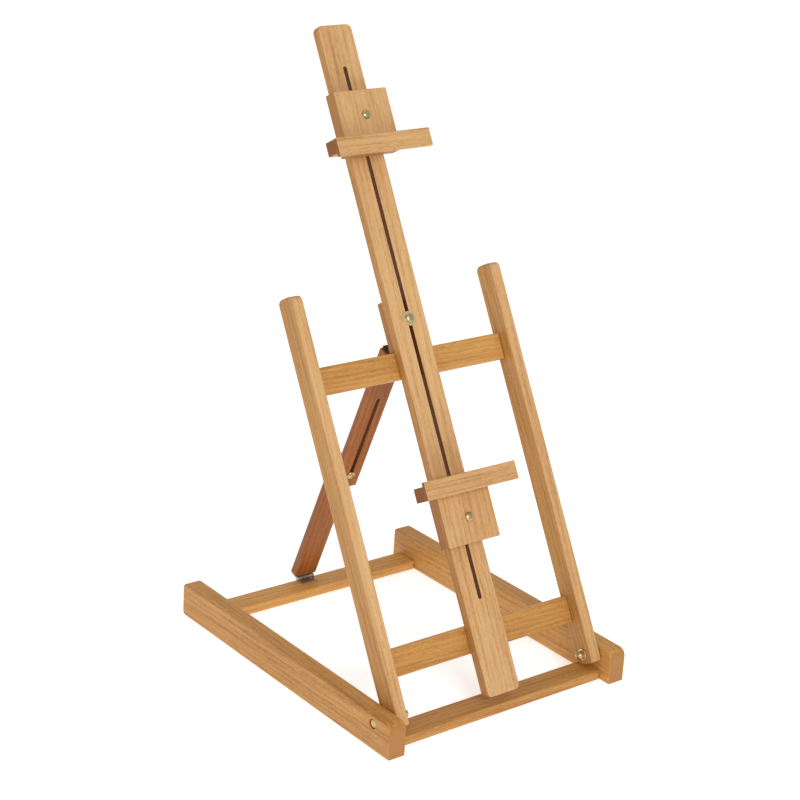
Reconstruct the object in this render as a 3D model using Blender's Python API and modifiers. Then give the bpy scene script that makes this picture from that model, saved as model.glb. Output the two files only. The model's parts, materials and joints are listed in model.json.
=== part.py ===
"""Tabletop H-frame easel: a low base, a tilting frame, a slotted mast with canvas holders and a strut.

Metres, +Z up. The easel faces -Y, with its origin under the middle of the base.
Lengths below are in millimetres and are turned into metres by the helpers.
"""

import math

import bmesh
import bpy
from mathutils import Matrix, Vector

MM = 0.001
GAP = 0.3
FINE_GAP = 0.15

# Base: two rails on edge, joined by two flat crossbars.
BASE_WIDTH = 310.0
RAIL_LENGTH = 370.0
RAIL_WIDTH = 20.0
RAIL_HEIGHT = 36.5
RAIL_FRONT_ROUND = 8.0
RAIL_REAR_ROUND = 4.0
BAR_WIDTH = 28.0
BAR_THICKNESS = 10.6
FRONT_BAR_Y = -RAIL_LENGTH / 2 + 28.5
REAR_BAR_Y = RAIL_LENGTH / 2 - 26.5
TENON_WIDTH = 20.0
TENON_THICKNESS = 6.0
TENON_LENGTH = 7.0

# Tilting frame: it turns on two bolts near the front of the rails.
PIVOT_Y = -RAIL_LENGTH / 2 + 28.0
PIVOT_Z = 27.0
FRAME_TILT = math.radians(29.0)
UPRIGHT_WIDTH = 13.5
UPRIGHT_DEPTH = 24.0
UPRIGHT_TOP = 422.0
UPRIGHT_BOTTOM = -10.5
UPRIGHT_ROUND = 6.0
UPRIGHT_HEEL_ROUND = 10.0
SIDE_CLEARANCE = 1.0
LOWER_BAR_U = 49.6
UPPER_BAR_U = 334.7
BLOCK_TOP = 402.0
BLOCK_DOWEL_X = 8.5
BLOCK_DOWEL_RADIUS = 3.0
BLOCK_DOWEL_LENGTH = 16.0

# Mast: one slotted board that slides in front of the frame's crossbars.
MAST_WIDTH = 42.5
MAST_THICKNESS = 10.4
MAST_BOTTOM = -11.0
MAST_TOP = 691.0
MAST_CORNER = 6.0
MAST_SLOT_BOTTOM = 86.5
MAST_SLOT_TOP = 646.5
MAST_CLAMP_U = 379.5
MAST_X = 2.0

# Canvas holders: a square block on the mast, with a ledge and a lip in front.
HOLDER_BOLT_U = {"upper": 590.6, "lower": 169.7}
HOLDER_BLOCK_WIDTH = 66.5
HOLDER_BLOCK_THICKNESS = 15.0
HOLDER_INNER_END = 40.0
HOLDER_OUTER_END = -26.3
LEDGE_LENGTH = 118.0
LEDGE_HEIGHT = 14.8
LEDGE_DEPTH = 15.2
LIP_HEIGHT = 19.2
LIP_THICKNESS = 4.4
LIP_STANDS = 4.2

# Strut: a lower piece hinged on the rear crossbar and a slotted upper piece that slides in front of it.
STRUT_WIDTH = 28.0
STRUT_THICKNESS = 10.6
STRUT_LAP_GAP = 0.4
STRUT_LOWER_TOP = 181.0
STRUT_BOLT_S = 168.0
STRUT_UPPER_BOTTOM = 149.0
STRUT_SLOT_LENGTH = 112.0
STRUT_X = -3.0
TOP_HINGE_U = 353.5
FOOT_HINGE_Y = RAIL_LENGTH / 2 - 15.0

# Butt hinges at the strut's two ends.
HINGE_LENGTH = 22.0
HINGE_LEAF_WIDTH = 10.4
HINGE_LEAF_THICKNESS = 1.0
HINGE_BARREL_RADIUS = 2.4
HINGE_PIN_RADIUS = 0.65
HINGE_KNUCKLE_GAP = 0.5
HINGE_BORE_CLEARANCE = 0.1
OPEN_PIVOT_PLAY = 1.0
OPEN_PIVOT_LEAF_THICKNESS = 1.7
SCREW_X = 6.0
SCREW_RADIUS = 1.1
SCREW_HEAD_RADIUS = 2.0
SCREW_LENGTH = 7.5

# Bolts, washers and nuts.
CLAMP_BOLT_RADIUS = 2.0
CLAMP_HEAD_RADIUS = 4.8
CLAMP_HEAD_HEIGHT = 2.8
CLAMP_SLOT_WIDTH = 4.7
PIVOT_BOLT_RADIUS = 2.5
PIVOT_HEAD_RADIUS = 4.7
PIVOT_HEAD_HEIGHT = 2.2
PIVOT_RECESS_RADIUS = 5.3
PIVOT_RECESS_DEPTH = 2.7
PIVOT_WASHER_RADIUS = 6.2
CAP_NUT_FLATS = 9.0
CAP_NUT_HEX_HEIGHT = 4.0
CAP_NUT_DOME_RADIUS = 4.2
WASHER_THICKNESS = 1.0
MAST_WASHER_RADIUS = 7.6
SMALL_WASHER_RADIUS = 5.5
WING_HUB_RADIUS = 4.4
WING_HUB_TOP_RADIUS = 3.4
WING_HUB_HEIGHT = 5.5
WING_REACH = 12.0
WING_EAR_RADIUS = 4.2
WING_THICKNESS = 1.8

WOOD_EDGE = 1.2
SMALL_EDGE = 0.8
EDGE_SEGMENTS = 2
ROUND_SEGMENTS = 4
TURN_STEPS = 20
SMALL_TURN_STEPS = 12
MERGE = 0.00001

# Worked out from the sizes above.
RAIL_X = BASE_WIDTH / 2 - RAIL_WIDTH / 2
INNER_HALF = BASE_WIDTH / 2 - RAIL_WIDTH
UPRIGHT_X = INNER_HALF - SIDE_CLEARANCE - UPRIGHT_WIDTH / 2
FRAME_INNER_HALF = UPRIGHT_X - UPRIGHT_WIDTH / 2
FRAME_REAR_V = UPRIGHT_DEPTH / 2
FRAME_BAR_V = FRAME_REAR_V - BAR_THICKNESS / 2
UPPER_BAR_TOP = UPPER_BAR_U + BAR_WIDTH / 2
MAST_REAR_V = FRAME_REAR_V - BAR_THICKNESS - GAP
MAST_FRONT_V = MAST_REAR_V - MAST_THICKNESS
BLOCK_REAR_V = MAST_FRONT_V - GAP
BLOCK_FRONT_V = BLOCK_REAR_V - HOLDER_BLOCK_THICKNESS
HINGE_REACH = HINGE_BARREL_RADIUS + GAP
OPEN_PIVOT_REACH = HINGE_REACH + OPEN_PIVOT_PLAY


def reset_scene():
    for obj in list(bpy.data.objects):
        bpy.data.objects.remove(obj, do_unlink=True)


def new_collection(name, hidden=False):
    collection = bpy.data.collections.new(name)
    bpy.context.scene.collection.children.link(collection)
    collection.hide_render = hidden
    return collection


reset_scene()
PARTS = new_collection("tabletop_easel")
CUTTERS = new_collection("cutters", hidden=True)


def material(name, color, roughness, metallic=0.0):
    mat = bpy.data.materials.new(name)
    mat.use_nodes = True
    shader = mat.node_tree.nodes["Principled BSDF"]
    shader.inputs["Base Color"].default_value = (*color, 1.0)
    shader.inputs["Roughness"].default_value = roughness
    shader.inputs["Metallic"].default_value = metallic
    return mat


BEECH = material("oiled_beech", (0.62, 0.36, 0.16), 0.45)
BEECH_PALE = material("oiled_beech_pale", (0.70, 0.45, 0.23), 0.45)
BRASS = material("brass_plate", (0.78, 0.62, 0.30), 0.28, 1.0)
ANTIQUE = material("antique_brass", (0.22, 0.16, 0.09), 0.42, 1.0)


def empty(name, location, tilt):
    """An axis to hang parts on, at a world point in millimetres, turned about X."""
    obj = bpy.data.objects.new(name, None)
    obj.location = Vector(location) * MM
    obj.rotation_euler = (tilt, 0.0, 0.0)
    PARTS.objects.link(obj)
    return obj


def place(obj, parent, location, rotation=(0.0, 0.0, 0.0)):
    """Puts an object at a point in millimetres in its parent's own frame, or in the world."""
    obj.parent = parent
    obj.location = Vector(location) * MM
    obj.rotation_euler = rotation
    return obj


def object_from(name, bm, mat):
    mesh = bpy.data.meshes.new(name)
    bm.to_mesh(mesh)
    bm.free()
    obj = bpy.data.objects.new(name, mesh)
    if mat is None:
        obj.hide_render = True
        obj.display_type = "WIRE"
        CUTTERS.objects.link(obj)
    else:
        mesh.materials.append(mat)
        PARTS.objects.link(obj)
    return obj


def ease_edges(obj, width, segments=EDGE_SEGMENTS):
    bevel = obj.modifiers.new("eased_edges", "BEVEL")
    bevel.width = width * MM
    bevel.segments = segments
    bevel.limit_method = "ANGLE"
    bevel.angle_limit = math.radians(40)


def cut(obj, cutter, operation="DIFFERENCE"):
    boolean = obj.modifiers.new(cutter.name, "BOOLEAN")
    boolean.operation = operation
    boolean.object = cutter


def round_corners(bm, along, corners):
    """Rounds the box edges along one axis; corners maps the signs of the other two axes to a radius."""
    others = [axis for axis in range(3) if axis != along]
    for signs, radius in corners.items():
        edges = []
        for edge in bm.edges:
            ends = [vert.co for vert in edge.verts]
            level = all(abs(ends[0][axis] - ends[1][axis]) < MERGE for axis in others)
            if level and all(ends[0][axis] * sign > 0 for axis, sign in zip(others, signs)):
                edges.append(edge)
        bmesh.ops.bevel(
            bm, geom=edges, offset=radius * MM, segments=ROUND_SEGMENTS, profile=0.5, affect="EDGES"
        )


def board(name, size, mat, edge=WOOD_EDGE, along=None, corners=None):
    """A rectangular piece with eased edges, and larger rounds on the named corners."""
    bm = bmesh.new()
    bmesh.ops.create_cube(bm, size=1.0, matrix=Matrix.Diagonal((*[side * MM for side in size], 1.0)))
    if corners:
        round_corners(bm, along, corners)
    obj = object_from(name, bm, mat)
    if mat is not None:
        ease_edges(obj, edge)
    return obj


def box_cutter(name, size):
    return board(name, size, None)


def cylinder(name, radius, length, mat, steps=TURN_STEPS):
    """A cylinder along local Z, centred on its origin."""
    bm = bmesh.new()
    bmesh.ops.create_cone(
        bm,
        cap_ends=True,
        segments=steps,
        radius1=radius * MM,
        radius2=radius * MM,
        depth=length * MM,
    )
    obj = object_from(name, bm, mat)
    smooth(obj)
    return obj


def smooth(obj):
    obj.data.shade_smooth()
    obj.data.set_sharp_from_angle(angle=math.radians(40))


def turned(name, profile, mat, steps=TURN_STEPS):
    """A profile of (radius, height) points, from the top down its outer side, turned about local Z."""
    bm = bmesh.new()
    verts = [bm.verts.new((radius * MM, 0.0, height * MM)) for radius, height in profile]
    for first, second in zip(verts, verts[1:]):
        bm.edges.new((first, second))
    obj = object_from(name, bm, mat)
    screw = obj.modifiers.new("turn", "SCREW")
    screw.axis = "Z"
    screw.steps = steps
    screw.render_steps = steps
    screw.use_merge_vertices = True
    screw.merge_threshold = MERGE
    screw.use_smooth_shade = True
    return obj


def dome(radius, height, base, points=4):
    """Profile points of a dome from its top to its rim, at a given base height."""
    angles = [math.pi / 2 * step / points for step in range(points + 1)]
    return [(radius * math.sin(a), base + height * math.cos(a)) for a in angles]


def bolt(name, head_radius, head_height, shank_radius, length, mat=BRASS):
    """A domed bolt along local Z: the head above the origin and the shank below it."""
    rim = 0.5
    profile = dome(head_radius, head_height - rim, rim)
    profile += [(head_radius, 0.0), (shank_radius, 0.0), (shank_radius, -length), (0.0, -length)]
    return turned(name, profile, mat)


def ring(name, outer, inner, thickness, mat=BRASS):
    """A washer about local Z, standing on its origin."""
    profile = [(inner, thickness), (outer, thickness), (outer, 0.0), (inner, 0.0), (inner, thickness)]
    return turned(name, profile, mat)


def slot_cutter(name, width, bottom, top, depth, parent, middle_y):
    """A slot with round ends that runs along local Z of its parent and is cut along local Y."""
    radius = width / 2
    bm = bmesh.new()
    size = (width * MM, depth * MM, (top - bottom) * MM, 1.0)
    bmesh.ops.create_cube(bm, size=1.0, matrix=Matrix.Diagonal(size))
    edges = []
    for edge in bm.edges:
        if abs(edge.verts[0].co.y - edge.verts[1].co.y) > MERGE:
            edges.append(edge)
    round_off = radius * 0.999
    bmesh.ops.bevel(
        bm, geom=edges, offset=round_off * MM, segments=ROUND_SEGMENTS, profile=0.5, affect="EDGES"
    )
    obj = object_from(name, bm, None)
    return place(obj, parent, (0.0, middle_y, (top + bottom) / 2))


TURN_TO_FRONT = (math.pi / 2, 0.0, 0.0)
TURN_TO_BACK = (-math.pi / 2, 0.0, 0.0)
TURN_TO_LEFT = (0.0, -math.pi / 2, 0.0)
TURN_TO_RIGHT = (0.0, math.pi / 2, 0.0)
CUT_LENGTH = 80.0
SIDES = {"left": -1, "right": 1}


def hole(target, name, radius, parent, location, rotation, length=CUT_LENGTH):
    cutter = cylinder(name, radius, length, None, SMALL_TURN_STEPS)
    place(cutter, parent, location, rotation)
    cut(target, cutter)


# --- Axes ---------------------------------------------------------------------------------------

# The mast and the strut are fitted by hand, a little to either side of the frame's middle.
frame_axis = empty("frame_axis", (0.0, PIVOT_Y, PIVOT_Z), -FRAME_TILT)
mast_line = place(empty("mast_line", (0.0, 0.0, 0.0), 0.0), frame_axis, (MAST_X, 0.0, 0.0))
block_line = place(empty("block_line", (0.0, 0.0, 0.0), 0.0), frame_axis, (STRUT_X, 0.0, 0.0))
foot_line = empty("foot_line", (STRUT_X, 0.0, 0.0), 0.0)
foot_axis_z = BAR_THICKNESS + HINGE_REACH
top_axis_v = FRAME_REAR_V + OPEN_PIVOT_REACH


def frame_point(u, v):
    """The world (y, z) of a point u up the frame and v behind its mid-plane."""
    y = PIVOT_Y + u * math.sin(FRAME_TILT) + v * math.cos(FRAME_TILT)
    z = PIVOT_Z + u * math.cos(FRAME_TILT) - v * math.sin(FRAME_TILT)
    return Vector((y, z))


# The upper piece lies in front of the lower one, so the strut's line is offset from the line
# between its two hinges by one thickness.
STRUT_OFFSET = STRUT_THICKNESS + STRUT_LAP_GAP
span = frame_point(TOP_HINGE_U, top_axis_v) - Vector((FOOT_HINGE_Y, foot_axis_z))
STRUT_REACH = math.sqrt(span.length_squared - STRUT_OFFSET**2)
STRUT_LEAN = math.atan2(-span.x, span.y) - math.asin(STRUT_OFFSET / span.length)
strut_axis = empty("strut_axis", (STRUT_X, FOOT_HINGE_Y, foot_axis_z), STRUT_LEAN)


# --- Base ---------------------------------------------------------------------------------------


def tenoned_bar(name, half_length, size_y, size_z, tenon_y, tenon_z, mat):
    """A crossbar along X with a stub tenon on each end."""
    bar = board(name, (2 * (half_length - GAP), size_y, size_z), mat)
    tongue = box_cutter(name + "_tenon", (2 * (half_length + TENON_LENGTH), tenon_y, tenon_z))
    cut(bar, tongue, "UNION")
    return bar, tongue


def mortise(target, name, side_x, location, size_y, size_z, parent):
    """A blind pocket that takes a stub tenon, opening towards the middle of the easel."""
    depth = TENON_LENGTH + GAP
    pocket = box_cutter(name, (2 * depth, size_y + 2 * GAP, size_z + 2 * GAP))
    place(pocket, parent, (side_x, *location))
    cut(target, pocket)


def base_rails():
    for side, sign in SIDES.items():
        rail = board(
            side + "_rail",
            (RAIL_WIDTH, RAIL_LENGTH, RAIL_HEIGHT),
            BEECH,
            along=0,
            corners={(-1, 1): RAIL_FRONT_ROUND, (1, 1): RAIL_REAR_ROUND, (1, -1): RAIL_REAR_ROUND},
        )
        place(rail, None, (sign * RAIL_X, 0.0, RAIL_HEIGHT / 2))
        for label, y in (("front", FRONT_BAR_Y), ("rear", REAR_BAR_Y)):
            name = f"{side}_{label}_mortise"
            at = (y, BAR_THICKNESS / 2)
            mortise(rail, name, sign * INNER_HALF, at, TENON_WIDTH, TENON_THICKNESS, None)
        radius = PIVOT_BOLT_RADIUS + GAP
        at = (sign * RAIL_X, PIVOT_Y, PIVOT_Z)
        hole(rail, side + "_rail_bolt_hole", radius, None, at, TURN_TO_RIGHT)
        at = (sign * BASE_WIDTH / 2, PIVOT_Y, PIVOT_Z)
        recess = 2 * PIVOT_RECESS_DEPTH
        hole(rail, side + "_rail_recess", PIVOT_RECESS_RADIUS, None, at, TURN_TO_RIGHT, recess)


def base_crossbars():
    for label, y in (("front", FRONT_BAR_Y), ("rear", REAR_BAR_Y)):
        bar, tongue = tenoned_bar(
            label + "_base_crossbar",
            INNER_HALF,
            BAR_WIDTH,
            BAR_THICKNESS,
            TENON_WIDTH,
            TENON_THICKNESS,
            BEECH,
        )
        place(bar, None, (0.0, y, BAR_THICKNESS / 2))
        place(tongue, None, (0.0, y, BAR_THICKNESS / 2))


def cap_nut(name):
    """A hexagon nut with a domed end, standing on its origin about local Z, with a blind bore."""
    corner = CAP_NUT_FLATS / math.sqrt(3)
    nut = cylinder(name, corner, CAP_NUT_HEX_HEIGHT, BRASS, 6)
    nut.data.transform(Matrix.Translation((0.0, 0.0, CAP_NUT_HEX_HEIGHT / 2 * MM)))
    ease_edges(nut, 0.4, 1)
    base = CAP_NUT_HEX_HEIGHT - 1.0
    profile = dome(CAP_NUT_DOME_RADIUS, CAP_NUT_DOME_RADIUS, base) + [(0.0, base)]
    cap = turned(name + "_dome", profile, None)
    cut(nut, cap, "UNION")
    bore = cylinder(name + "_bore", PIVOT_BOLT_RADIUS + FINE_GAP, 10.0, None)
    cut(nut, bore)
    return nut, (cap, bore)


def pivots():
    """On each side: a bolt sunk in the rail's outer face, and a washer and a cap nut inside the upright."""
    washer_x = FRAME_INNER_HALF - GAP
    head_x = BASE_WIDTH / 2 - PIVOT_RECESS_DEPTH + FINE_GAP
    shank = head_x - washer_x + WASHER_THICKNESS + CAP_NUT_HEX_HEIGHT
    for side, sign in SIDES.items():
        outward = TURN_TO_RIGHT if sign > 0 else TURN_TO_LEFT
        inward = TURN_TO_LEFT if sign > 0 else TURN_TO_RIGHT
        pin = bolt(
            side + "_pivot_bolt", PIVOT_HEAD_RADIUS, PIVOT_HEAD_HEIGHT, PIVOT_BOLT_RADIUS, shank
        )
        place(pin, None, (sign * head_x, PIVOT_Y, PIVOT_Z), outward)
        washer = ring(
            side + "_pivot_washer",
            PIVOT_WASHER_RADIUS,
            PIVOT_BOLT_RADIUS + FINE_GAP,
            WASHER_THICKNESS,
        )
        place(washer, None, (sign * washer_x, PIVOT_Y, PIVOT_Z), inward)
        nut, tools = cap_nut(side + "_pivot_cap_nut")
        nut_x = washer_x - WASHER_THICKNESS - FINE_GAP
        for obj in (nut, *tools):
            place(obj, None, (sign * nut_x, PIVOT_Y, PIVOT_Z), inward)


# --- Tilting frame ------------------------------------------------------------------------------


def uprights():
    length = UPRIGHT_TOP - UPRIGHT_BOTTOM
    middle = (UPRIGHT_TOP + UPRIGHT_BOTTOM) / 2
    for side, sign in SIDES.items():
        upright = board(
            side + "_upright",
            (UPRIGHT_WIDTH, UPRIGHT_DEPTH, length),
            BEECH,
            along=0,
            corners={
                (1, 1): UPRIGHT_ROUND,
                (-1, 1): UPRIGHT_ROUND,
                (1, -1): UPRIGHT_HEEL_ROUND,
                (-1, -1): UPRIGHT_ROUND / 2,
            },
        )
        place(upright, frame_axis, (sign * UPRIGHT_X, 0.0, middle))
        for label, u in (("lower", LOWER_BAR_U), ("upper", UPPER_BAR_U)):
            name = f"{side}_{label}_frame_mortise"
            at = (FRAME_BAR_V, u)
            edge_x = sign * FRAME_INNER_HALF
            mortise(upright, name, edge_x, at, TENON_THICKNESS, TENON_WIDTH, frame_axis)
        radius = PIVOT_BOLT_RADIUS + GAP
        at = (sign * UPRIGHT_X, 0.0, 0.0)
        hole(upright, side + "_upright_bolt_hole", radius, frame_axis, at, TURN_TO_RIGHT)


def frame_crossbars():
    bars = {}
    for label, u in (("lower", LOWER_BAR_U), ("upper", UPPER_BAR_U)):
        bar, tongue = tenoned_bar(
            label + "_frame_crossbar",
            FRAME_INNER_HALF,
            BAR_THICKNESS,
            BAR_WIDTH,
            TENON_THICKNESS,
            TENON_WIDTH,
            BEECH,
        )
        place(bar, frame_axis, (0.0, FRAME_BAR_V, u))
        place(tongue, frame_axis, (0.0, FRAME_BAR_V, u))
        bars[label] = bar
    return bars


def backing_block(upper_bar):
    """The block on top of the upper crossbar that the mast is clamped against, held by two dowels."""
    bottom = UPPER_BAR_TOP + GAP
    block = board("backing_block", (BAR_WIDTH, BAR_THICKNESS, BLOCK_TOP - bottom), BEECH)
    place(block, block_line, (0.0, FRAME_BAR_V, (BLOCK_TOP + bottom) / 2))
    radius = CLAMP_BOLT_RADIUS + GAP
    at = (0.0, FRAME_BAR_V, MAST_CLAMP_U)
    hole(block, "backing_block_bolt_hole", radius, mast_line, at, TURN_TO_FRONT)
    middle = UPPER_BAR_TOP + GAP / 2
    for side, sign in SIDES.items():
        at = (sign * BLOCK_DOWEL_X, FRAME_BAR_V, middle)
        dowel = cylinder(
            side + "_block_dowel", BLOCK_DOWEL_RADIUS, BLOCK_DOWEL_LENGTH, BEECH_PALE, SMALL_TURN_STEPS
        )
        ease_edges(dowel, 0.5, 1)
        place(dowel, block_line, at)
        for target in (block, upper_bar):
            name = f"{side}_dowel_hole_{target.name}"
            length = BLOCK_DOWEL_LENGTH + 2 * GAP
            radius = BLOCK_DOWEL_RADIUS + GAP
            hole(target, name, radius, block_line, at, (0.0, 0.0, 0.0), length)
    return block


# --- Clamps -------------------------------------------------------------------------------------


def wing_nut_mesh():
    """A wing nut about local Z, standing on its origin, joined into one mesh with its bore cut."""
    rim = 0.6
    profile = [
        (0.0, WING_HUB_HEIGHT),
        (WING_HUB_TOP_RADIUS - rim, WING_HUB_HEIGHT),
        (WING_HUB_TOP_RADIUS, WING_HUB_HEIGHT - rim),
        (WING_HUB_RADIUS, rim),
        (WING_HUB_RADIUS, 0.0),
        (0.0, 0.0),
    ]
    hub = turned("wing_nut", profile, BRASS, 16)
    for side, sign in SIDES.items():
        ear_x = WING_REACH - WING_EAR_RADIUS
        ear = cylinder(f"wing_ear_{side}", WING_EAR_RADIUS, WING_THICKNESS, None, 14)
        place(ear, None, (sign * ear_x, 0.0, WING_HUB_HEIGHT + 0.9), TURN_TO_FRONT)
        web = board(f"wing_web_{side}", (ear_x, WING_THICKNESS * 0.98, 4.2), None)
        place(web, None, (sign * ear_x / 2, 0.0, 3.4), (0.0, -sign * math.radians(18), 0.0))
        for piece in (ear, web):
            cut(hub, piece, "UNION")
    bore = cylinder("wing_bore", CLAMP_BOLT_RADIUS + FINE_GAP, 40.0, None, 16)
    cut(hub, bore)
    bpy.context.view_layer.update()
    graph = bpy.context.evaluated_depsgraph_get()
    mesh = bpy.data.meshes.new_from_object(hub.evaluated_get(graph))
    bpy.data.objects.remove(hub, do_unlink=True)
    mesh.name = "wing_nut"
    return mesh


def wing_nut(name, mesh, parent, location):
    nut = bpy.data.objects.new(name, mesh)
    PARTS.objects.link(nut)
    smooth(nut)
    return place(nut, parent, location, TURN_TO_BACK)


def clamp(name, mesh, parent, u, front, back, front_washer=0.0):
    """A domed bolt from the front face to a washer and a wing nut behind the back face."""
    head = front - FINE_GAP
    if front_washer:
        washer = ring(
            name + "_front_washer", front_washer, CLAMP_BOLT_RADIUS + FINE_GAP, WASHER_THICKNESS
        )
        place(washer, parent, (0.0, head, u), TURN_TO_FRONT)
        head -= WASHER_THICKNESS + FINE_GAP
    nut_at = back + FINE_GAP + WASHER_THICKNESS + FINE_GAP
    length = nut_at + WING_HUB_HEIGHT + 2.0 - head
    pin = bolt(name + "_bolt", CLAMP_HEAD_RADIUS, CLAMP_HEAD_HEIGHT, CLAMP_BOLT_RADIUS, length)
    place(pin, parent, (0.0, head, u), TURN_TO_FRONT)
    washer = ring(
        name + "_washer", SMALL_WASHER_RADIUS, CLAMP_BOLT_RADIUS + FINE_GAP, WASHER_THICKNESS
    )
    place(washer, parent, (0.0, back + FINE_GAP, u), TURN_TO_BACK)
    wing_nut(name + "_wing_nut", mesh, parent, (0.0, nut_at, u))


# --- Mast and canvas holders --------------------------------------------------------------------


def mast():
    length = MAST_TOP - MAST_BOTTOM
    obj = board(
        "mast",
        (MAST_WIDTH, MAST_THICKNESS, length),
        BEECH_PALE,
        along=1,
        corners={(a, b): MAST_CORNER for a in (-1, 1) for b in (-1, 1)},
    )
    middle_v = (MAST_FRONT_V + MAST_REAR_V) / 2
    place(obj, mast_line, (0.0, middle_v, (MAST_TOP + MAST_BOTTOM) / 2))
    slot = slot_cutter(
        "mast_slot",
        CLAMP_SLOT_WIDTH,
        MAST_SLOT_BOTTOM,
        MAST_SLOT_TOP,
        3 * MAST_THICKNESS,
        mast_line,
        middle_v,
    )
    cut(obj, slot)


def holder(name, nut_mesh):
    """One canvas holder; the upper one is the lower one turned half round, so its ledge faces down."""
    sign = 1 if name == "lower" else -1
    bolt_u = HOLDER_BOLT_U[name]

    def along(a, b):
        return bolt_u + sign * (a + b) / 2

    block_size = (HOLDER_BLOCK_WIDTH, HOLDER_BLOCK_THICKNESS, HOLDER_INNER_END - HOLDER_OUTER_END)
    block = board(name + "_holder_block", block_size, BEECH, SMALL_EDGE)
    middle_v = (BLOCK_FRONT_V + BLOCK_REAR_V) / 2
    place(block, mast_line, (0.0, middle_v, along(HOLDER_INNER_END, HOLDER_OUTER_END)))
    radius = CLAMP_BOLT_RADIUS + GAP
    at = (0.0, middle_v, bolt_u)
    hole(block, name + "_holder_bolt_hole", radius, mast_line, at, TURN_TO_FRONT)

    ledge = board(name + "_ledge", (LEDGE_LENGTH, LEDGE_DEPTH, LEDGE_HEIGHT), BEECH, SMALL_EDGE)
    ledge_v = BLOCK_FRONT_V - GAP - LEDGE_DEPTH / 2
    ledge_u = along(HOLDER_INNER_END, HOLDER_INNER_END - LEDGE_HEIGHT)
    place(ledge, mast_line, (0.0, ledge_v, ledge_u))

    lip = board(name + "_lip", (LEDGE_LENGTH, LIP_THICKNESS, LIP_HEIGHT), BEECH, SMALL_EDGE)
    lip_top = HOLDER_INNER_END + LIP_STANDS
    lip_v = ledge_v - LEDGE_DEPTH / 2 - GAP - LIP_THICKNESS / 2
    place(lip, mast_line, (0.0, lip_v, along(lip_top, lip_top - LIP_HEIGHT)))

    clamp(name + "_holder", nut_mesh, mast_line, bolt_u, BLOCK_FRONT_V, MAST_REAR_V)


# --- Strut --------------------------------------------------------------------------------------


KNUCKLE = (HINGE_LENGTH - 2 * HINGE_KNUCKLE_GAP) / 3
MIDDLE_KNUCKLE = (0.0,)
OUTER_KNUCKLES = (-KNUCKLE - HINGE_KNUCKLE_GAP, KNUCKLE + HINGE_KNUCKLE_GAP)


def hinge_leaf(name, parent, axis_at, is_outer, plate_at, plate_size, play):
    """One leaf of a butt hinge: a plate cut back at the other leaf's knuckles, with its own joined on."""
    own, other = MIDDLE_KNUCKLE, OUTER_KNUCKLES
    if is_outer:
        own, other = other, own
    leaf = board(name, plate_size, ANTIQUE, 0.3)
    place(leaf, parent, plate_at)
    for index, middle in enumerate(other):
        reach = HINGE_REACH + play
        notch = box_cutter(f"{name}_notch_{index}", (KNUCKLE + 2 * GAP, 2 * reach, 2 * reach))
        place(notch, parent, (middle, *axis_at))
        cut(leaf, notch)
    for index, middle in enumerate(own):
        knuckle = cylinder(f"{name}_knuckle_{index}", HINGE_BARREL_RADIUS, KNUCKLE, None, 14)
        place(knuckle, parent, (middle, *axis_at), TURN_TO_RIGHT)
        cut(leaf, knuckle, "UNION")
    bore = HINGE_PIN_RADIUS + HINGE_BORE_CLEARANCE
    if not is_outer:
        bore += play
    hole(leaf, name + "_pin_bore", bore, parent, (0.0, *axis_at), TURN_TO_RIGHT)
    return leaf


def screw(name, parent, location, rotation, targets):
    """A countersunk wood screw, with its holes cut in the leaf and the wood it holds."""
    neck = -(SCREW_HEAD_RADIUS - SCREW_RADIUS)
    profile = [
        (0.0, 0.0),
        (SCREW_HEAD_RADIUS, 0.0),
        (SCREW_RADIUS, neck),
        (SCREW_RADIUS, -SCREW_LENGTH + 2.0),
        (0.0, -SCREW_LENGTH),
    ]
    place(turned(name, profile, ANTIQUE, 12), parent, location, rotation)
    head = SCREW_HEAD_RADIUS + FINE_GAP
    shank = SCREW_RADIUS + FINE_GAP
    bottom = -SCREW_LENGTH - FINE_GAP
    profile = [
        (0.0, 1.0),
        (head, 1.0),
        (head, -FINE_GAP),
        (shank, neck - FINE_GAP),
        (shank, bottom),
        (0.0, bottom),
    ]
    cutter = place(turned(name + "_hole", profile, None, 12), parent, location, rotation)
    for target in targets:
        cut(target, cutter)


def hinge_pin(name, parent, axis_at):
    pin = cylinder(name, HINGE_PIN_RADIUS, HINGE_LENGTH, ANTIQUE, SMALL_TURN_STEPS)
    place(pin, parent, (0.0, *axis_at), TURN_TO_RIGHT)


def leaf_with_screws(name, parent, axis_at, is_outer, side, into, wood, play=0.0):
    """A leaf on the wood. side is the way it runs from the pin and into the way its screws go, as (y, z)."""
    side = Vector(side)
    into = Vector(into)
    axis = Vector(axis_at)
    width = HINGE_LEAF_WIDTH
    thickness = OPEN_PIVOT_LEAF_THICKNESS if play else HINGE_LEAF_THICKNESS
    surface = HINGE_REACH + play - GAP - thickness
    middle = axis + side * width / 2 + into * (surface + thickness / 2)
    thin_z = abs(into.y) > 0.5
    size = (HINGE_LENGTH, width, thickness) if thin_z else (HINGE_LENGTH, thickness, width)
    leaf = hinge_leaf(name, parent, axis_at, is_outer, (0.0, *middle), size, play)
    face = axis + side * width * 0.62 + into * (surface + 0.1)
    if thin_z:
        rotation = (0.0, 0.0, 0.0) if into.y < 0 else (math.pi, 0.0, 0.0)
    else:
        rotation = TURN_TO_BACK if into.x < 0 else TURN_TO_FRONT
    for label, sign in SIDES.items():
        at = (sign * SCREW_X, *face)
        screw(f"{name}_{label}_screw", parent, at, rotation, (leaf, wood))


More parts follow.
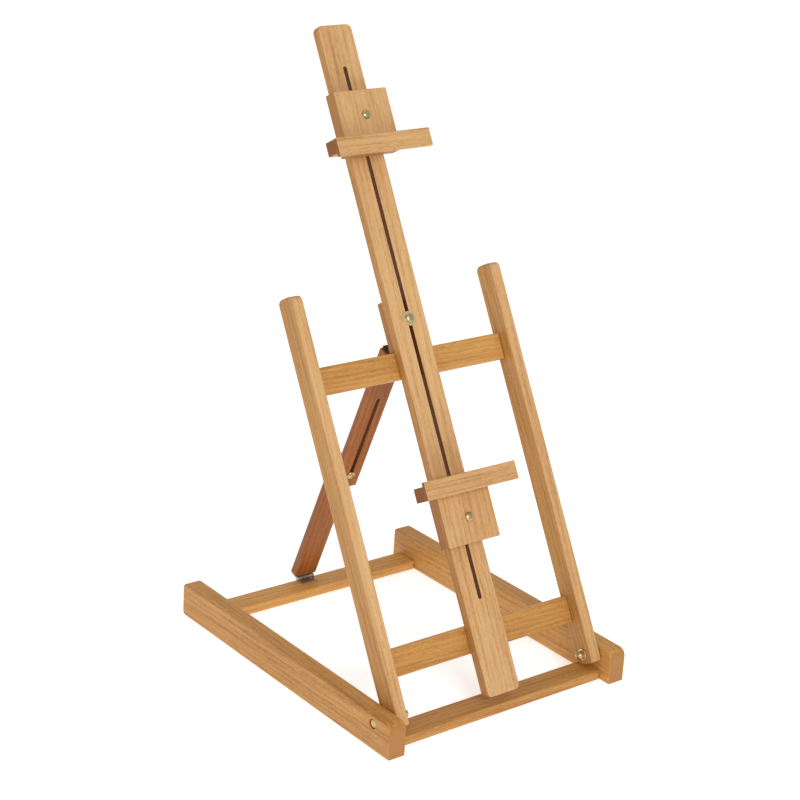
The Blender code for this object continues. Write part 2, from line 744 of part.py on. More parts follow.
def strut(nut_mesh):
    x = STRUT_WIDTH
    lower_length = STRUT_LOWER_TOP - HINGE_REACH
    lower = board("strut_lower", (x, STRUT_THICKNESS, lower_length), BEECH)
    lower_y = STRUT_THICKNESS / 2
    place(lower, strut_axis, (0.0, lower_y, (STRUT_LOWER_TOP + HINGE_REACH) / 2))
    at = (0.0, lower_y, STRUT_BOLT_S)
    hole(lower, "strut_lower_bolt_hole", CLAMP_BOLT_RADIUS + GAP, strut_axis, at, TURN_TO_FRONT)

    top = STRUT_REACH - OPEN_PIVOT_REACH
    upper = board("strut_upper", (x, STRUT_THICKNESS, top - STRUT_UPPER_BOTTOM), BEECH)
    upper_y = -STRUT_LAP_GAP - STRUT_THICKNESS / 2
    place(upper, strut_axis, (0.0, upper_y, (top + STRUT_UPPER_BOTTOM) / 2))
    slot_bottom = STRUT_BOLT_S - CLAMP_SLOT_WIDTH / 2 - GAP
    slot = slot_cutter(
        "strut_slot",
        CLAMP_SLOT_WIDTH,
        slot_bottom,
        slot_bottom + STRUT_SLOT_LENGTH,
        2 * STRUT_THICKNESS - 2 * STRUT_LAP_GAP,
        strut_axis,
        upper_y,
    )
    cut(upper, slot)
    clamp("strut", nut_mesh, strut_axis, STRUT_BOLT_S, -STRUT_OFFSET, STRUT_THICKNESS)
    return lower, upper


def foot_hinge(lower, rear_bar):
    axis_at = (FOOT_HINGE_Y, foot_axis_z)
    leaf_with_screws("foot_hinge_base_leaf", foot_line, axis_at, True, (-1, 0), (0, -1), rear_bar)
    leaf_with_screws("foot_hinge_strut_leaf", strut_axis, (0.0, 0.0), False, (1, 0), (0, 1), lower)
    hinge_pin("foot_hinge_pin", foot_line, axis_at)


def top_hinge(upper, block):
    """The strut's upper pivot. Its middle knuckle has a wide bore, because the linkage is opened here."""
    axis_at = (top_axis_v, TOP_HINGE_U)
    end_at = (-STRUT_OFFSET, STRUT_REACH)
    play = OPEN_PIVOT_PLAY
    leaf_with_screws("top_hinge_frame_leaf", block_line, axis_at, True, (0, 1), (-1, 0), block, play)
    leaf_with_screws("top_hinge_strut_leaf", strut_axis, end_at, False, (1, 0), (0, -1), upper, play)
    hinge_pin("top_hinge_pin", block_line, axis_at)


# --- Build --------------------------------------------------------------------------------------

base_rails()
base_crossbars()
pivots()
uprights()
frame_bars = frame_crossbars()
block = backing_block(frame_bars["upper"])
nut = wing_nut_mesh()
mast()
clamp("mast", nut, mast_line, MAST_CLAMP_U, MAST_FRONT_V, FRAME_REAR_V, MAST_WASHER_RADIUS)
for which in HOLDER_BOLT_U:
    holder(which, nut)
strut_lower, strut_upper = strut(nut)
foot_hinge(strut_lower, bpy.data.objects["rear_base_crossbar"])
top_hinge(strut_upper, block)
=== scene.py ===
"""Looks for the tabletop easel: oiled beech with brass fittings, on a pale studio floor.

Metres, +Z up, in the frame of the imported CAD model.
"""

import json
import math

import bmesh
import bpy
from mathutils import Matrix, Vector

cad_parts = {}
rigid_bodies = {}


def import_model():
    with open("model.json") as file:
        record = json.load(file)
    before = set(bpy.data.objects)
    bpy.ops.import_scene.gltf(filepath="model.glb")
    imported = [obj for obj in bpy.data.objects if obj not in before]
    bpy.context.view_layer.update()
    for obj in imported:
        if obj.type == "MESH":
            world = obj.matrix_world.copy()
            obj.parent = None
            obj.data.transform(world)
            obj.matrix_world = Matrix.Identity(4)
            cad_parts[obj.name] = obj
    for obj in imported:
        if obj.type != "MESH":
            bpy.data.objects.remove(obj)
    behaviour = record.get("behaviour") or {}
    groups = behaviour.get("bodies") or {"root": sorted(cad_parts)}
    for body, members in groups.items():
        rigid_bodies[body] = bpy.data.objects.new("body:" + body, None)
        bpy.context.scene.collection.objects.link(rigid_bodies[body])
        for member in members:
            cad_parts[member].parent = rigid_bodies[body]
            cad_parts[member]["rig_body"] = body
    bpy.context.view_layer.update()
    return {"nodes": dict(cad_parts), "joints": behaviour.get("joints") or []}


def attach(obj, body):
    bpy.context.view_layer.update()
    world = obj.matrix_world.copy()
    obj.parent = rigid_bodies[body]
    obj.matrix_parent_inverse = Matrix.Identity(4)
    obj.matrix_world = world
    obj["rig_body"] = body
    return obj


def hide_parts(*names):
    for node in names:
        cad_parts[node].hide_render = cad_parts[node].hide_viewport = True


MM = 0.001

# Camera, matched to the photograph's view.
CAMERA_AT = (-1.2275, -1.4944, 0.99275)
CAMERA_AZIMUTH = math.radians(-38.98)
CAMERA_ELEVATION = math.radians(20.22)
CAMERA_ROLL = math.radians(3.497)
CAMERA_LENS = 90.64

# Light and floor.
FLOOR_SIZE = 40.0
FLOOR_COLOR = (0.90, 0.90, 0.895)
FLOOR_ROUGHNESS = 0.85
FLOOR_GLOW = 0.47
SKY_STRENGTH = 0.57
WHITE = (1.0, 1.0, 1.0, 1.0)
LIGHT_AIM = (0.0, 0.0, 0.25)
LIGHTS = (
    # name, position, (width, height), watts
    ("key", (-0.7, -2.5, 1.7), (1.2, 1.0), 36.5),
    ("left_fill", (-2.4, 0.1, 1.1), (1.2, 1.4), 3.5),
    ("top", (0.2, 0.6, 2.6), (1.6, 1.6), 3.5),
)

# Beech, as linear colours: the faces, with the struts' faces darkened as painted shade, then the
# end grain, the painted shade on the sides, and the painted shade on the slot walls.
BEECH_LIGHT = (0.65, 0.345, 0.100)
BEECH_MID = (0.55, 0.265, 0.066)
BEECH_DARK = (0.33, 0.130, 0.026)
PALE_LIGHT = (0.70, 0.440, 0.205)
PALE_MID = (0.62, 0.360, 0.150)
PALE_DARK = (0.40, 0.185, 0.060)
WARM_LIGHT = (0.79, 0.435, 0.130)
WARM_MID = (0.69, 0.350, 0.090)
WARM_DARK = (0.44, 0.185, 0.040)
# The struts' face tones: beech darkened as painted shade, because the strut lies in shade.
STRUT_SHADE_LIGHT = (0.43, 0.165, 0.030)
STRUT_SHADE_MID = (0.37, 0.112, 0.015)
STRUT_SHADE_DARK = (0.16, 0.045, 0.010)
END_LIGHT = (0.46, 0.225, 0.066)
END_DARK = (0.34, 0.140, 0.038)
# Painted shade multiplied onto the sides of upright pieces, stronger on the holder blocks.
SIDE_SHADE_TINT = (0.82, 0.69, 0.43)
BLOCK_SIDE_SHADE_TINT = (0.62, 0.45, 0.24)
# End grain for the ledges, lips and struts: partly the end grain's own darker colour, partly
# painted shade for ends that sit in shadow.
SHADED_END_LIGHT = (0.27, 0.092, 0.018)
SHADED_END_DARK = (0.15, 0.045, 0.009)
# Painted shade on the walls inside the slots, which are turned away from the light.
SLOT_SHADE = (0.19, 0.055, 0.018)
SLOT_SHADE_STRENGTH = 0.9
SLOT_HALF = 2.6 * MM
WALL_FACING = 0.6

# The wood's pattern. A stretch is how much the pattern is shortened along the grain.
LONG_STRETCH = 0.035
SHORT_STRETCH = 0.12
SPECKLE_STRETCH = 0.20
LINE_STRETCH = 0.012
BAND_SCALE = 95.0
STREAK_SCALE = 190.0
FIBRE_SCALE = 900.0
SPECKLE_SCALE = 1150.0
FLECK_SCALE = 760.0
LINE_SCALE = 420.0
PATCH_SCALE = 16.0
RING_SCALE = 150.0
PORE_SCALE = 1500.0
BAND_SHARE = 0.08
STREAK_SHARE = 0.30
FIBRE_SHARE = 0.40
SPECKLE_SHARE = 0.36
PATCH_SHARE = 0.26
TONE_RANGE = (0.57, 0.87)
MIDDLE_STOP = 0.48
FLECK_RANGE = (0.60, 0.70)
FLECK_STRENGTH = 0.42
LINE_RANGE = (0.58, 0.74)
LINE_STRENGTH = 0.45
# Painted shade along the eased edges of upright pieces.
ARRIS_SHADE_STRENGTH = 0.45
RING_SHARE = 0.22
PORE_SHARE = 0.78
BASE_ROUGHNESS = 0.26
WOOD_SPECULAR = 0.28
WOOD_COAT = 0.04
WOOD_COAT_ROUGHNESS = 0.30
WOOD_BUMP = 0.16
WOOD_BUMP_DEPTH = 0.4 * MM

LATHE_STEPS = 48
SHARP_ANGLE = math.radians(35)

# Fittings, to the CAD model's sizes.
CLAMP_HEAD_RADIUS = 4.8 * MM
CLAMP_HEAD_HEIGHT = 2.8 * MM
CLAMP_RADIUS = 2.0 * MM
PIVOT_HEAD_RADIUS = 4.7 * MM
PIVOT_HEAD_HEIGHT = 2.2 * MM
PIVOT_RADIUS = 2.5 * MM
THREAD_PITCH = 0.7 * MM
THREAD_DEPTH = 0.28 * MM
THREAD_LENGTH = 14.0 * MM
NUT_BORE = 2.15 * MM
NUT_RADIUS = 4.4 * MM
NUT_TOP_RADIUS = 3.4 * MM
NUT_HUB_HEIGHT = 5.5 * MM
EAR_X = 7.8 * MM
EAR_Z = 6.4 * MM
EAR_RADIUS = 4.2 * MM
EAR_THICKNESS = 1.9 * MM
EAR_STEPS = 14
EAR_START = -75
EAR_SWEEP = 205
EAR_ROOT = 0.6 * MM
EAR_ROOT_LOW = 0.8 * MM
EAR_ROOT_HIGH = 0.4 * MM
EAR_EDGE = 0.45 * MM
HEAD_RIM = 0.6 * MM
BOLT_TIP = 0.6 * MM
WASHER_EDGE = 0.2 * MM
NUT_EDGE = 0.5 * MM
CAP_CORNER = 5.2 * MM
CAP_EDGE = 0.35 * MM
CAP_OVERLAP = 0.4 * MM
CAP_HEX_HEIGHT = 4.0 * MM
CAP_RADIUS = 4.3 * MM

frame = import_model()
nodes = frame["nodes"]
joints = {joint["name"]: joint for joint in frame["joints"]}

GRAIN_X = Vector((1, 0, 0))
GRAIN_Y = Vector((0, 1, 0))
GRAIN_MAST = Vector(joints["mast_slide"]["axis"]).normalized()
GRAIN_STRUT = Vector(joints["strut_slide"]["axis"]).normalized()
MAST_NUT = joints["mast_nut_turn"]
STRUT_NUT = joints["strut_nut_turn"]


# --- Node helpers ---------------------------------------------------------------------------------


class Graph:
    """A material's node tree, with short calls for adding and linking its nodes."""

    def __init__(self, name):
        self.material = bpy.data.materials.new(name)
        self.material.use_nodes = True
        self.tree = self.material.node_tree
        self.shader = self.tree.nodes["Principled BSDF"]

    def add(self, kind, **settings):
        node = self.tree.nodes.new(kind)
        for key, value in settings.items():
            setattr(node, key, value)
        return node

    def link(self, source, target):
        self.tree.links.new(source, target)

    def fill(self, socket, value):
        """Links a socket to a socket, or sets a constant on it."""
        if isinstance(value, bpy.types.NodeSocket):
            self.link(value, socket)
        else:
            socket.default_value = value

    def math(self, operation, first, second=0.0, clamp=False):
        node = self.add("ShaderNodeMath", operation=operation, use_clamp=clamp)
        self.fill(node.inputs[0], first)
        self.fill(node.inputs[1], second)
        return node.outputs[0]

    def noise(self, vector, scale, detail=3.0, roughness=0.5, distortion=0.0):
        node = self.add("ShaderNodeTexNoise")
        self.fill(node.inputs["Vector"], vector)
        node.inputs["Scale"].default_value = scale
        node.inputs["Detail"].default_value = detail
        node.inputs["Roughness"].default_value = roughness
        node.inputs["Distortion"].default_value = distortion
        return node.outputs["Fac"]

    def ramp(self, factor, stops):
        node = self.add("ShaderNodeValToRGB")
        elements = node.color_ramp.elements
        while len(elements) < len(stops):
            elements.new(1.0)
        for element, (at, color) in zip(elements, stops):
            element.position = at
            element.color = (*color, 1.0)
        self.fill(node.inputs["Fac"], factor)
        return node.outputs["Color"]

    def remap(self, value, low, high, to_low=0.0, to_high=1.0):
        node = self.add("ShaderNodeMapRange")
        self.fill(node.inputs["Value"], value)
        node.inputs["From Min"].default_value = low
        node.inputs["From Max"].default_value = high
        node.inputs["To Min"].default_value = to_low
        node.inputs["To Max"].default_value = to_high
        return node.outputs["Result"]

    def mix(self, factor, first, second, blend="MIX"):
        node = self.add("ShaderNodeMix", data_type="RGBA", blend_type=blend)
        self.fill(node.inputs["Factor"], factor)
        for label, value in (("A", first), ("B", second)):
            socket = [s for s in node.inputs if s.name == label and s.type == "RGBA"][0]
            is_color = isinstance(value, tuple)
            self.fill(socket, (*value, 1.0) if is_color else value)
        return [s for s in node.outputs if s.type == "RGBA"][0]

    def bump(self, height, strength, distance):
        node = self.add("ShaderNodeBump")
        node.inputs["Strength"].default_value = strength
        node.inputs["Distance"].default_value = distance
        self.link(height, node.inputs["Height"])
        self.link(node.outputs["Normal"], self.shader.inputs["Normal"])


# --- Materials ------------------------------------------------------------------------------------


def slot_wall_shade_mask(g, coordinates, nut):
    """1 on the walls of the slot that a nut's bolt runs in, where shade is painted."""
    apart = g.add("ShaderNodeSeparateXYZ")
    g.link(coordinates.outputs["Object"], apart.inputs[0])
    off_line = g.math("ABSOLUTE", g.math("SUBTRACT", apart.outputs["X"], nut["pos_m"][0]))
    inside = g.math("LESS_THAN", off_line, SLOT_HALF)
    facing = g.add("ShaderNodeVectorMath", operation="DOT_PRODUCT")
    g.link(coordinates.outputs["Normal"], facing.inputs[0])
    facing.inputs[1].default_value = nut["axis"]
    is_wall = g.math("LESS_THAN", g.math("ABSOLUTE", facing.outputs["Value"]), WALL_FACING)
    return g.math("MULTIPLY", inside, is_wall)


def wood(name, grain, seed, tones, side_shade_tint, slot_nut):
    """Oiled beech whose grain runs along a direction.

    The ends have end-grain colours. Upright pieces also have their sides and edges darkened as
    painted shade.
    """
    light, middle, dark, end_light, end_dark = tones
    g = Graph(name)
    coordinates = g.add("ShaderNodeTexCoord")
    turn = grain.to_track_quat("X", "Z").inverted().to_euler()
    lay = g.add("ShaderNodeMapping")
    lay.inputs["Location"].default_value = (0.37 * seed, 0.113 * seed, 0.071 * seed)
    lay.inputs["Rotation"].default_value = turn
    g.link(coordinates.outputs["Object"], lay.inputs["Vector"])

    def stretched(along):
        node = g.add("ShaderNodeMapping")
        node.inputs["Scale"].default_value = (along, 1.0, 1.0)
        g.link(lay.outputs["Vector"], node.inputs["Vector"])
        return node.outputs["Vector"]

    long_grain = stretched(LONG_STRETCH)
    short_grain = stretched(SHORT_STRETCH)

    bands = g.add("ShaderNodeTexWave", wave_type="BANDS", bands_direction="DIAGONAL")
    bands.inputs["Scale"].default_value = BAND_SCALE
    bands.inputs["Distortion"].default_value = 9.0
    bands.inputs["Detail"].default_value = 2.0
    bands.inputs["Detail Scale"].default_value = 0.45
    g.link(long_grain, bands.inputs["Vector"])
    fibres = g.noise(long_grain, FIBRE_SCALE, 4.0, 0.62)
    streaks = g.noise(long_grain, STREAK_SCALE, 3.0, 0.55, 0.2)
    patches = g.noise(short_grain, PATCH_SCALE, 3.0, 0.5)
    flecks = g.noise(short_grain, FLECK_SCALE, 2.0, 0.5)
    speckle = g.noise(stretched(SPECKLE_STRETCH), SPECKLE_SCALE, 2.0, 0.6)

    tone = g.math("MULTIPLY", bands.outputs["Fac"], BAND_SHARE)
    for part, share in (
        (streaks, STREAK_SHARE),
        (fibres, FIBRE_SHARE),
        (speckle, SPECKLE_SHARE),
        (patches, PATCH_SHARE),
    ):
        tone = g.math("ADD", tone, g.math("MULTIPLY", part, share))
    tone = g.remap(tone, *TONE_RANGE)
    lines = g.remap(g.noise(stretched(LINE_STRETCH), LINE_SCALE, 2.0, 0.5), *LINE_RANGE)
    color = g.ramp(tone, ((0.0, light), (MIDDLE_STOP, middle), (1.0, dark)))
    fleck_mask = g.remap(flecks, *FLECK_RANGE)
    fleck_mask = g.math("MULTIPLY", fleck_mask, FLECK_STRENGTH, clamp=True)
    color = g.mix(fleck_mask, color, dark)
    color = g.mix(g.math("MULTIPLY", lines, LINE_STRENGTH, clamp=True), color, dark)

    normal_dot = g.add("ShaderNodeVectorMath", operation="DOT_PRODUCT")
    g.link(coordinates.outputs["Normal"], normal_dot.inputs[0])
    normal_dot.inputs[1].default_value = grain
    facing = g.math("ABSOLUTE", normal_dot.outputs["Value"])
    end_mask = g.remap(facing, 0.55, 0.9)
    end_rings = g.add("ShaderNodeTexWave", wave_type="RINGS", rings_direction="X")
    end_rings.inputs["Scale"].default_value = RING_SCALE
    end_rings.inputs["Distortion"].default_value = 2.0
    g.link(lay.outputs["Vector"], end_rings.inputs["Vector"])
    pores = g.noise(lay.outputs["Vector"], PORE_SCALE, 2.0, 0.6)
    end_tone = g.math("MULTIPLY", end_rings.outputs["Fac"], RING_SHARE)
    end_tone = g.math("ADD", end_tone, g.math("MULTIPLY", pores, PORE_SHARE))
    end_color = g.ramp(end_tone, ((0.2, end_dark), (0.75, end_light)))
    color = g.mix(end_mask, color, end_color)

    if grain == GRAIN_MAST:
        normal_parts = g.add("ShaderNodeSeparateXYZ")
        g.link(coordinates.outputs["Normal"], normal_parts.inputs[0])
        sideways = g.math("ABSOLUTE", normal_parts.outputs["X"])
        # Painted shade: the sides of upright pieces darker than their fronts.
        color = g.mix(g.remap(sideways, 0.35, 0.75), color, side_shade_tint, "MULTIPLY")
        # Painted shade on the eased edges between side and front.
        arris_shade = g.math("MULTIPLY", g.remap(sideways, 0.15, 0.4), g.remap(sideways, 0.97, 0.85))
        color = g.mix(g.math("MULTIPLY", arris_shade, ARRIS_SHADE_STRENGTH), color, dark)

    geometry = g.add("ShaderNodeNewGeometry")
    edges = g.remap(geometry.outputs["Pointiness"], 0.52, 0.60)
    edges = g.math("MULTIPLY", edges, g.remap(patches, 0.30, 0.70, 0.15, 0.45), clamp=True)
    color = g.mix(edges, color, dark)

    # Painted shade on the slot walls.
    if slot_nut:
        slot_shading = g.math("MULTIPLY", slot_wall_shade_mask(g, coordinates, slot_nut), SLOT_SHADE_STRENGTH)
        color = g.mix(slot_shading, color, SLOT_SHADE)

    g.link(color, g.shader.inputs["Base Color"])
    rough = g.math("MULTIPLY", fibres, 0.22)
    rough = g.math("ADD", rough, g.math("MULTIPLY", patches, 0.12))
    rough = g.math("ADD", rough, g.math("MULTIPLY", end_mask, 0.12))
    g.link(g.math("ADD", rough, BASE_ROUGHNESS), g.shader.inputs["Roughness"])
    g.shader.inputs["Specular IOR Level"].default_value = WOOD_SPECULAR
    g.shader.inputs["Coat Weight"].default_value = WOOD_COAT
    g.shader.inputs["Coat Roughness"].default_value = WOOD_COAT_ROUGHNESS
    height = g.math("ADD", g.math("MULTIPLY", fibres, 0.6), g.math("MULTIPLY", streaks, 0.4))
    height = g.math("SUBTRACT", height, g.math("MULTIPLY", fleck_mask, 0.5))
    g.bump(height, WOOD_BUMP, WOOD_BUMP_DEPTH)
    return g.material


def metal(name, clean, tarnished, roughness, tarnish):
    """A polished or darkened metal with faint scratches and uneven tarnish."""
    g = Graph(name)
    coordinates = g.add("ShaderNodeTexCoord").outputs["Object"]
    clouds = g.noise(coordinates, 120.0, 4.0, 0.6)
    specks = g.noise(coordinates, 1400.0, 3.0, 0.6)
    mask = g.remap(clouds, 0.40, 0.70, 0.0, tarnish)
    color = g.mix(mask, clean, tarnished)
    g.link(color, g.shader.inputs["Base Color"])
    g.shader.inputs["Metallic"].default_value = 1.0
    rough = g.math("MULTIPLY", specks, 0.12)
    rough = g.math("ADD", rough, g.math("MULTIPLY", mask, 0.25))
    g.link(g.math("ADD", rough, roughness - 0.06), g.shader.inputs["Roughness"])
    g.bump(specks, 0.08, 0.0001)
    return g.material


BEECH = (BEECH_LIGHT, BEECH_MID, BEECH_DARK, END_LIGHT, END_DARK)
# The ledges' and lips' end grain is darkened partly as painted shade.
LEDGE = (BEECH_LIGHT, BEECH_MID, BEECH_DARK, SHADED_END_LIGHT, SHADED_END_DARK)
PALE = (PALE_LIGHT, PALE_MID, PALE_DARK, END_LIGHT, END_DARK)
WARM = (WARM_LIGHT, WARM_MID, WARM_DARK, END_LIGHT, END_DARK)
LIP = (PALE_LIGHT, PALE_MID, PALE_DARK, SHADED_END_LIGHT, SHADED_END_DARK)
SHADED_STRUT = (STRUT_SHADE_LIGHT, STRUT_SHADE_MID, STRUT_SHADE_DARK, SHADED_END_LIGHT, SHADED_END_DARK)
WOODS = {
    "left_rail": (GRAIN_Y, BEECH),
    "right_rail": (GRAIN_Y, BEECH),
    "front_base_crossbar": (GRAIN_X, BEECH),
    "rear_base_crossbar": (GRAIN_X, WARM),
    "left_upright": (GRAIN_MAST, PALE),
    "right_upright": (GRAIN_MAST, PALE),
    "lower_frame_crossbar": (GRAIN_X, BEECH),
    "upper_frame_crossbar": (GRAIN_X, BEECH),
    "backing_block": (GRAIN_MAST, BEECH),
    "left_block_dowel": (GRAIN_MAST, PALE),
    "right_block_dowel": (GRAIN_MAST, PALE),
    "mast": (GRAIN_MAST, PALE),
    "upper_holder_block": (GRAIN_MAST, PALE),
    "upper_ledge": (GRAIN_X, LEDGE),
    "upper_lip": (GRAIN_X, LIP),
    "lower_holder_block": (GRAIN_MAST, PALE),
    "lower_ledge": (GRAIN_X, LEDGE),
    "lower_lip": (GRAIN_X, LIP),
    # The struts take the face tones darkened as painted shade.
    "strut_lower": (GRAIN_STRUT, SHADED_STRUT),
    "strut_upper": (GRAIN_STRUT, SHADED_STRUT),
}
SLOTTED = {"mast": MAST_NUT, "strut_upper": STRUT_NUT}
brass = metal("polished_brass", (0.60, 0.49, 0.25), (0.27, 0.19, 0.08), 0.18, 0.7)
plate = metal("pale_plated_brass", (0.83, 0.71, 0.46), (0.52, 0.38, 0.18), 0.30, 0.5)
dull_brass = metal("dull_brass", (0.62, 0.47, 0.22), (0.30, 0.20, 0.08), 0.30, 0.6)
antique = metal("antique_brass", (0.56, 0.50, 0.39), (0.20, 0.165, 0.115), 0.34, 0.7)
# Darkened brass made darker still as painted shade, for the top hinge in its gap.
dark_brass_and_shade = metal("darkened_brass_and_painted_shade", (0.13, 0.075, 0.038), (0.055, 0.030, 0.018), 0.42, 0.8)


def use(obj, material):
    obj.data.materials.clear()
    obj.data.materials.append(material)


for seed, (name, (grain, tones)) in enumerate(WOODS.items()):
    # Holder blocks get stronger painted shade on their sides.
    side_shade = BLOCK_SIDE_SHADE_TINT if "holder_block" in name else SIDE_SHADE_TINT
    look = wood(name + "_beech", grain, seed + 1, tones, side_shade, SLOTTED.get(name))
    use(nodes[name], look)
for name, node in nodes.items():
    if name in WOODS:
        continue
    # The top hinge sits in a gap: dark brass with painted shade.
    if "top_hinge" in name:
        use(node, dark_brass_and_shade)
    elif "hinge" in name:
        use(node, antique)
    elif "washer" in name:
        use(node, plate)
    else:
        use(node, brass)


# --- Finer fittings -------------------------------------------------------------------------------


def span(node, at, axis):
    """How far a CAD node reaches along an axis, measured from a point on it."""
    reach = [(vertex.co - at).dot(axis) for vertex in nodes[node].data.vertices]
    return min(reach), max(reach)


def stand_for(obj, node, material, at, axis):
    """Puts a finer piece, modelled along local Z, in the place of a CAD node."""
    obj.data.materials.append(material)
    obj.matrix_world = Matrix.Translation(at) @ axis.to_track_quat("Z", "Y").to_matrix().to_4x4()
    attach(obj, nodes[node]["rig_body"])
    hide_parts(node)
    return obj


def to_object(name, bm):
    bmesh.ops.recalc_face_normals(bm, faces=bm.faces)
    mesh = bpy.data.meshes.new(name)
    bm.to_mesh(mesh)
    bm.free()
    mesh.shade_smooth()
    mesh.set_sharp_from_angle(angle=SHARP_ANGLE)
    obj = bpy.data.objects.new(name, mesh)
    bpy.context.scene.collection.objects.link(obj)
    return obj


def lathe_into(bm, profile):
    """Turns a profile of (radius, height) points about Z."""
    verts = [bm.verts.new((radius, 0.0, height)) for radius, height in profile]
    edges = [bm.edges.new(pair) for pair in zip(verts, verts[1:])]
    bmesh.ops.spin(
        bm,
        geom=verts + edges,
        cent=(0, 0, 0),
        axis=(0, 0, 1),
        angle=2 * math.pi,
        steps=LATHE_STEPS,
        use_merge=True,
    )
    bmesh.ops.remove_doubles(bm, verts=bm.verts, dist=1e-7)


def dome(radius, height, base, steps=9):
    angles = [math.pi / 2 * step / steps for step in range(steps + 1)]
    return [(radius * math.sin(a), base + height * math.cos(a)) for a in angles]


def threads(radius, top, bottom):
    """A rolled thread as rings, from the top down."""
    points = []
    height = top
    while height - THREAD_PITCH > bottom:
        points.append((radius, height))
        points.append((radius - THREAD_DEPTH, height - THREAD_PITCH / 2))
        height -= THREAD_PITCH
    return points


def domed_bolt(node, at, axis, head_radius, head_height, shank_radius, material):
    """A bolt with its head towards the start of the axis."""
    low, high = span(node, at, axis)
    rim = HEAD_RIM
    length = high - low - head_height
    thread_top = -max(length - THREAD_LENGTH, 0.0)
    profile = dome(head_radius, head_height - rim, rim)
    profile += [(head_radius, rim * 0.3), (head_radius - 0.2 * MM, 0.0)]
    profile += [(shank_radius, 0.0), (shank_radius, thread_top)]
    profile += threads(shank_radius, thread_top, -length + BOLT_TIP)
    profile += [(shank_radius * 0.75, -length), (0.0, -length)]
    bm = bmesh.new()
    lathe_into(bm, profile)
    obj = to_object(node + "_finish", bm)
    return stand_for(obj, node, material, at + axis * (low + head_height), -axis)


def flat_washer(node, at, axis, bore):
    low, high = span(node, at, axis)
    middle = at + axis * (low + high) / 2
    outer = max((vertex.co - middle).length for vertex in nodes[node].data.vertices)
    outer = math.sqrt(outer**2 - ((high - low) / 2) ** 2)
    half = (high - low) / 2
    ease = WASHER_EDGE
    profile = [
        (bore, half - ease),
        (bore + ease, half),
        (outer - ease, half),
        (outer, half - ease),
        (outer, ease - half),
        (outer - ease, -half),
        (bore + ease, -half),
        (bore, ease - half),
        (bore, half - ease),
    ]
    bm = bmesh.new()
    lathe_into(bm, profile)
    return stand_for(to_object(node + "_finish", bm), node, plate, middle, axis)


def wing_nut(node, at, axis):
    """A cast wing nut: a tapered hub with two rounded ears that lean outwards."""
    low, high = span(node, at, axis)
    hub_height = NUT_HUB_HEIGHT
    ease = NUT_EDGE
    profile = [
        (NUT_BORE, hub_height),
        (NUT_TOP_RADIUS - ease, hub_height),
        (NUT_TOP_RADIUS, hub_height - ease),
        (NUT_RADIUS - 0.2 * MM, 1.4 * MM),
        (NUT_RADIUS, ease),
        (NUT_RADIUS - ease, 0.0),
        (NUT_BORE, 0.0),
        (NUT_BORE, hub_height),
    ]
    bm = bmesh.new()
    lathe_into(bm, profile)
    for side in (-1, 1):
        outline = [(NUT_BORE + EAR_ROOT, EAR_ROOT_LOW)]
        for step in range(EAR_STEPS + 1):
            angle = math.radians(EAR_START + EAR_SWEEP * step / EAR_STEPS)
            outline.append(
                (EAR_X + EAR_RADIUS * math.cos(angle), EAR_Z + EAR_RADIUS * math.sin(angle))
            )
        outline.append((NUT_BORE + EAR_ROOT, hub_height - EAR_ROOT_HIGH))
        ear = bmesh.new()
        face = ear.faces.new([ear.verts.new((side * x, 0.0, z)) for x, z in outline])
        grown = bmesh.ops.extrude_face_region(ear, geom=[face])["geom"]
        moved = [v for v in grown if isinstance(v, bmesh.types.BMVert)]
        bmesh.ops.translate(ear, verts=moved, vec=(0.0, EAR_THICKNESS, 0.0))
        bmesh.ops.translate(ear, verts=ear.verts, vec=(0.0, -EAR_THICKNESS / 2, 0.0))
        rims = [e for e in ear.edges if e.calc_face_angle(0.0) > math.radians(60)]
        bmesh.ops.bevel(ear, geom=rims, offset=EAR_EDGE, segments=3, profile=0.5, affect="EDGES")
        part = bpy.data.meshes.new("ear")
        ear.to_mesh(part)
        ear.free()
        bm.from_mesh(part)
        bpy.data.meshes.remove(part)
    return stand_for(to_object(node + "_finish", bm), node, brass, at + axis * low, axis)


def cap_nut(node, at, axis):
    """A hexagon nut with a polished dome."""
    low, high = span(node, at, axis)
    flats = bmesh.new()
    bmesh.ops.create_cone(
        flats,
        cap_ends=True,
        segments=6,
        radius1=CAP_CORNER,
        radius2=CAP_CORNER,
        depth=CAP_HEX_HEIGHT,
        matrix=Matrix.Translation((0.0, 0.0, CAP_HEX_HEIGHT / 2)),
    )
    bmesh.ops.bevel(
        flats, geom=flats.edges[:], offset=CAP_EDGE, segments=3, profile=0.5, affect="EDGES"
    )
    base = CAP_HEX_HEIGHT - CAP_OVERLAP
    lathe_into(flats, dome(CAP_RADIUS, high - low - base, base) + [(0.0, base)])
    return stand_for(to_object(node + "_finish", flats), node, brass, at + axis * low, axis)


for part in ("mast", "upper_holder", "lower_holder", "strut"):
    joint = joints[part + "_nut_turn"]
    nut_at, nut_axis = Vector(joint["pos_m"]), Vector(joint["axis"]).normalized()
    head = (CLAMP_HEAD_RADIUS, CLAMP_HEAD_HEIGHT, CLAMP_RADIUS)
    domed_bolt(part + "_bolt", nut_at, nut_axis, *head, brass)
    flat_washer(part + "_washer", nut_at, nut_axis, NUT_BORE)
    wing_nut(part + "_wing_nut", nut_at, nut_axis)
    if part == "mast":
        flat_washer("mast_front_washer", nut_at, nut_axis, NUT_BORE)
pivot_at = Vector(joints["frame_tilt"]["pos_m"])
for part, inward in (("left", Vector((1, 0, 0))), ("right", Vector((-1, 0, 0)))):
    head = (PIVOT_HEAD_RADIUS, PIVOT_HEAD_HEIGHT, PIVOT_RADIUS)
    domed_bolt(part + "_pivot_bolt", pivot_at, inward, *head, dull_brass)
    flat_washer(part + "_pivot_washer", pivot_at, inward, PIVOT_RADIUS + 0.15 * MM)
    cap_nut(part + "_pivot_cap_nut", pivot_at, inward)


# --- Floor, light and camera ----------------------------------------------------------------------


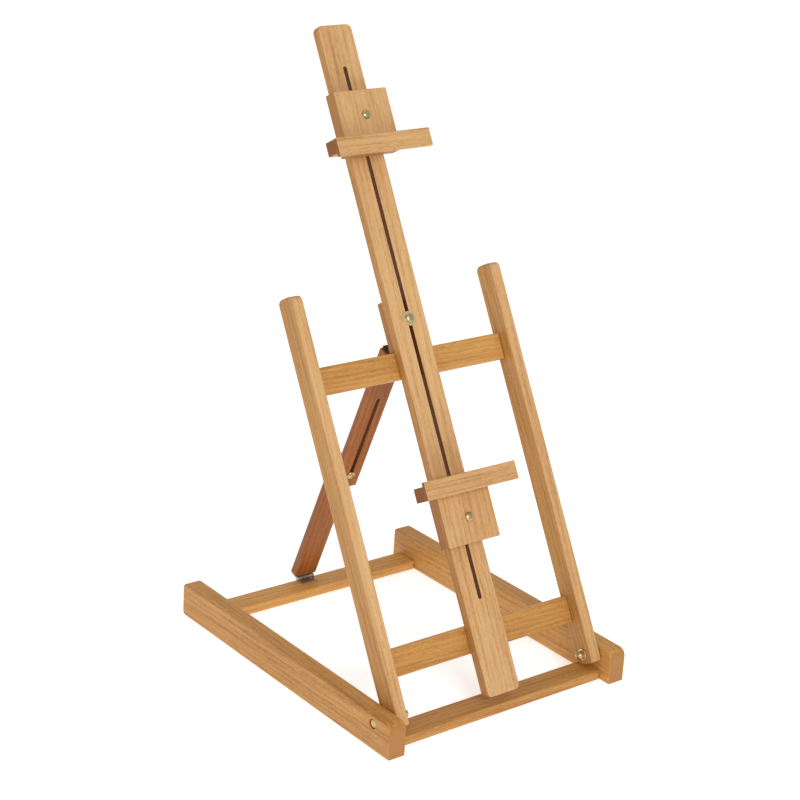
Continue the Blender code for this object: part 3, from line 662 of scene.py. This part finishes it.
def studio_floor():
    mesh = bpy.data.meshes.new("floor")
    half = FLOOR_SIZE / 2
    corners = [(-half, -half, 0), (half, -half, 0), (half, half, 0), (-half, half, 0)]
    mesh.from_pydata(corners, [], [(0, 1, 2, 3)])
    floor = bpy.data.objects.new("floor", mesh)
    bpy.context.scene.collection.objects.link(floor)
    g = Graph("pale_floor")
    g.shader.inputs["Base Color"].default_value = (*FLOOR_COLOR, 1.0)
    g.shader.inputs["Roughness"].default_value = FLOOR_ROUGHNESS
    g.shader.inputs["Emission Color"].default_value = WHITE
    g.shader.inputs["Emission Strength"].default_value = FLOOR_GLOW
    mesh.materials.append(g.material)


def area_light(name, at, size, energy):
    data = bpy.data.lights.new(name, "AREA")
    data.shape = "RECTANGLE"
    data.size, data.size_y = size
    data.energy = energy
    light = bpy.data.objects.new(name, data)
    light.location = at
    light.rotation_euler = (Vector(LIGHT_AIM) - Vector(at)).to_track_quat("-Z", "Y").to_euler()
    bpy.context.scene.collection.objects.link(light)


def studio_light():
    world = bpy.data.worlds.new("studio")
    world.use_nodes = True
    background = world.node_tree.nodes["Background"]
    background.inputs["Color"].default_value = WHITE
    background.inputs["Strength"].default_value = SKY_STRENGTH
    bpy.context.scene.world = world
    bpy.context.scene.view_settings.view_transform = "Standard"
    for name, at, size, energy in LIGHTS:
        area_light(name, at, size, energy)


def camera():
    sin_a, cos_a = math.sin(CAMERA_AZIMUTH), math.cos(CAMERA_AZIMUTH)
    sin_e, cos_e = math.sin(CAMERA_ELEVATION), math.cos(CAMERA_ELEVATION)
    back = Vector((sin_a * cos_e, -cos_a * cos_e, sin_e))
    level = Vector((cos_a, sin_a, 0.0))
    upward = back.cross(level)
    right = math.cos(CAMERA_ROLL) * level + math.sin(CAMERA_ROLL) * upward
    up = back.cross(right)
    data = bpy.data.cameras.new("camera")
    data.lens = CAMERA_LENS
    obj = bpy.data.objects.new("camera", data)
    turn = Matrix((right, up, back)).transposed().to_4x4()
    obj.matrix_world = Matrix.Translation(CAMERA_AT) @ turn
    bpy.context.scene.collection.objects.link(obj)
    bpy.context.scene.camera = obj


studio_floor()
studio_light()
camera()
